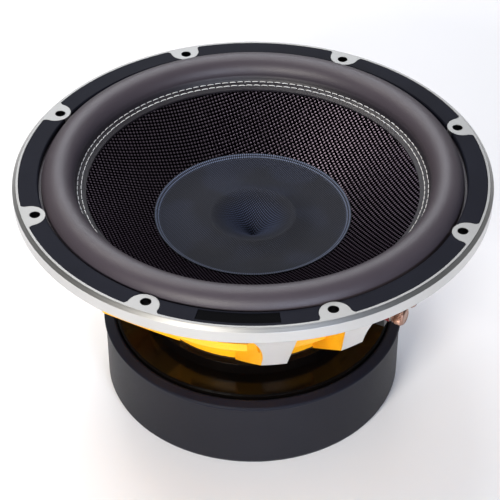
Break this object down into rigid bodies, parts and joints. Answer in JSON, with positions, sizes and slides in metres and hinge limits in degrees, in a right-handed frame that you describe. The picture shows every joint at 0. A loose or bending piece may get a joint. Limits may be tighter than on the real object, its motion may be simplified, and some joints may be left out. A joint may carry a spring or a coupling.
{
  "type": "car subwoofer speaker",
  "caption": "Car subwoofer driver with a woven cone, half-roll surround, cast basket on paired arms, and a rubber-booted magnet motor.",
  "frame": {"origin": "on the speaker's axis, on the surface that the motor boot stands on", "axes": "+Z along the speaker's axis towards the front of the cone; -Y points to the blank badge on the front gasket; mounting holes lie 22.5 degrees either side of each axis"},
  "size_m": [0.318, 0.318, 0.1777],
  "materials": {
    "machined_aluminium": "satin machined",
    "yellow_casting": "satin powder coat",
    "black_gloss": "gloss",
    "trim_rubber": "matt",
    "badge_plastic": "satin",
    "black_plastic": "moulded",
    "spider_cloth": "woven",
    "ferrite": "ground",
    "black_steel": "satin",
    "copper": "satin",
    "boot_rubber": "satin",
    "screw_steel": "satin",
    "red_plastic": "moulded",
    "tinned_brass": "satin",
    "tinsel_lead": "braided",
    "woven_cone": "woven, glossy resin",
    "cap_cloth": "fine woven",
    "surround_rubber": "satin",
    "thread": "waxed thread",
    "former_aluminium": "satin",
    "kraft_collar": "paper wrap"
  },
  "bodies": {
    "frame": {"basket_flange": "machined_aluminium", "basket_arms": "yellow_casting", "basket_ring": "yellow_casting", "base_ring": "black_gloss", "front_gasket": "trim_rubber", "badge_plate": "badge_plastic", "spider_spacer": "black_plastic", "spider_lower": "spider_cloth", "spider_upper": "spider_cloth", "top_plate": "black_gloss", "front_magnet": "ferrite", "rear_magnet": "ferrite", "t_yoke": "black_steel", "pole_sleeve": "copper", "flux_ring": "machined_aluminium", "rubber_boot": "boot_rubber", "vent_mesh": "screw_steel", "basket_screws": "screw_steel", "terminal_block_right": "black_plastic", "terminal_block_left": "black_plastic", "terminal_screws": "screw_steel", "post_studs": "copper", "positive_collars": "red_plastic", "negative_collars": "black_plastic", "solder_lugs": "tinned_brass", "stud_nuts": "screw_steel", "lead_1": "tinsel_lead", "lead_2": "tinsel_lead", "lead_3": "tinsel_lead", "lead_4": "tinsel_lead", "surround": "surround_rubber"},
    "washer_1": {"washer_1": "screw_steel"},
    "knob_1": {"knob_1": "copper"},
    "washer_2": {"washer_2": "screw_steel"},
    "knob_2": {"knob_2": "copper"},
    "washer_3": {"washer_3": "screw_steel"},
    "knob_3": {"knob_3": "copper"},
    "washer_4": {"washer_4": "screw_steel"},
    "knob_4": {"knob_4": "copper"},
    "cone": {"cone": "woven_cone", "dust_cap": "cap_cloth", "stitching_outer": "thread", "stitching_inner": "thread", "coil_former": "former_aluminium", "coil_inner": "copper", "coil_outer": "copper", "coil_collar": "kraft_collar"}
  },
  "joints": [
    {"name": "cone_stroke", "type": "slide", "parent": "frame", "child": "cone", "axis": [0, 0, 1], "range_m": [-0.018, 0.018], "stiffness_N_per_m": 7800, "deforming": ["surround", "spider_lower", "spider_upper", "lead_1", "lead_2", "lead_3", "lead_4"]},
    {"name": "washer_slide_1", "type": "slide", "parent": "frame", "child": "washer_1", "axis": [0.9239, -0.3827, 0], "range_m": [0, 0.004]},
    {"name": "knob_turn_1", "type": "hinge", "parent": "washer_1", "child": "knob_1", "pos_m": [0.09715, -0.05107, 0.0945], "axis": [0.9239, -0.3827, 0], "range_deg": [0, 1800]},
    {"name": "washer_slide_2", "type": "slide", "parent": "frame", "child": "washer_2", "axis": [0.9239, -0.3827, 0], "range_m": [0, 0.004]},
    {"name": "knob_turn_2", "type": "hinge", "parent": "washer_2", "child": "knob_2", "pos_m": [0.10481, -0.03259, 0.0945], "axis": [0.9239, -0.3827, 0], "range_deg": [0, 1800]},
    {"name": "washer_slide_3", "type": "slide", "parent": "frame", "child": "washer_3", "axis": [-0.9239, 0.3827, 0], "range_m": [0, 0.004]},
    {"name": "knob_turn_3", "type": "hinge", "parent": "washer_3", "child": "knob_3", "pos_m": [-0.09715, 0.05107, 0.0945], "axis": [-0.9239, 0.3827, 0], "range_deg": [0, 1800]},
    {"name": "washer_slide_4", "type": "slide", "parent": "frame", "child": "washer_4", "axis": [-0.9239, 0.3827, 0], "range_m": [0, 0.004]},
    {"name": "knob_turn_4", "type": "hinge", "parent": "washer_4", "child": "knob_4", "pos_m": [-0.10481, 0.03259, 0.0945], "axis": [-0.9239, 0.3827, 0], "range_deg": [0, 1800]}
  ],
  "couplings": [
    {"joint": "knob_turn_1", "follows": "washer_slide_1", "rad_per_m": 7854},
    {"joint": "knob_turn_2", "follows": "washer_slide_2", "rad_per_m": 7854},
    {"joint": "knob_turn_3", "follows": "washer_slide_3", "rad_per_m": 7854},
    {"joint": "knob_turn_4", "follows": "washer_slide_4", "rad_per_m": 7854}
  ]
}
